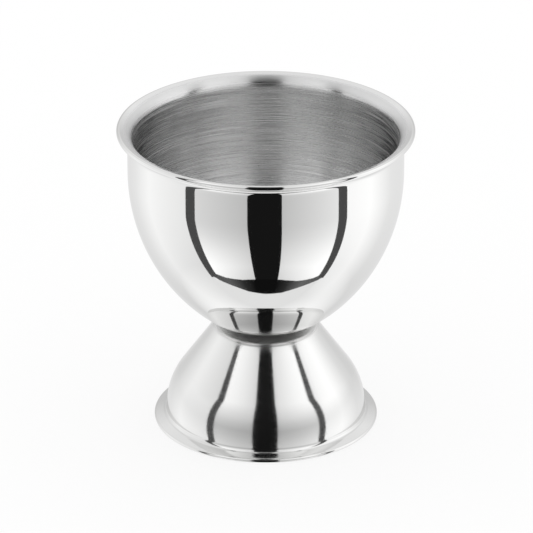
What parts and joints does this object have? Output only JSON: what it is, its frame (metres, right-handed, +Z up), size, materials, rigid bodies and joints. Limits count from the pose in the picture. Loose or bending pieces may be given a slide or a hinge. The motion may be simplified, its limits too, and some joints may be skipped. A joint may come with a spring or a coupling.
{
  "type": "egg cup",
  "caption": "Footed egg cup of polished stainless steel: round-bottomed bowl with a flared lip, spot-welded crown to crown to a hollow bell-shaped foot with a sloping brim.",
  "frame": {"origin": "centre of the foot on the surface that the cup stands on", "axes": "+Z up along the axis of the cup; +X and +Y are any two directions square to it"},
  "size_m": [0.05, 0.05, 0.0533],
  "materials": {
    "polished_steel": "mirror-polished stainless steel outside and on the lip, turned satin inside",
    "satin_steel": "polished stainless steel outside with a fine haze, dull drawn surface under the foot",
    "fused_steel": "fused stainless steel, grey, sealed between the two sheets"
  },
  "bodies": {
    "root": {"bowl": "polished_steel", "foot": "satin_steel", "weld_nugget": "fused_steel"}
  },
  "joints": []
}
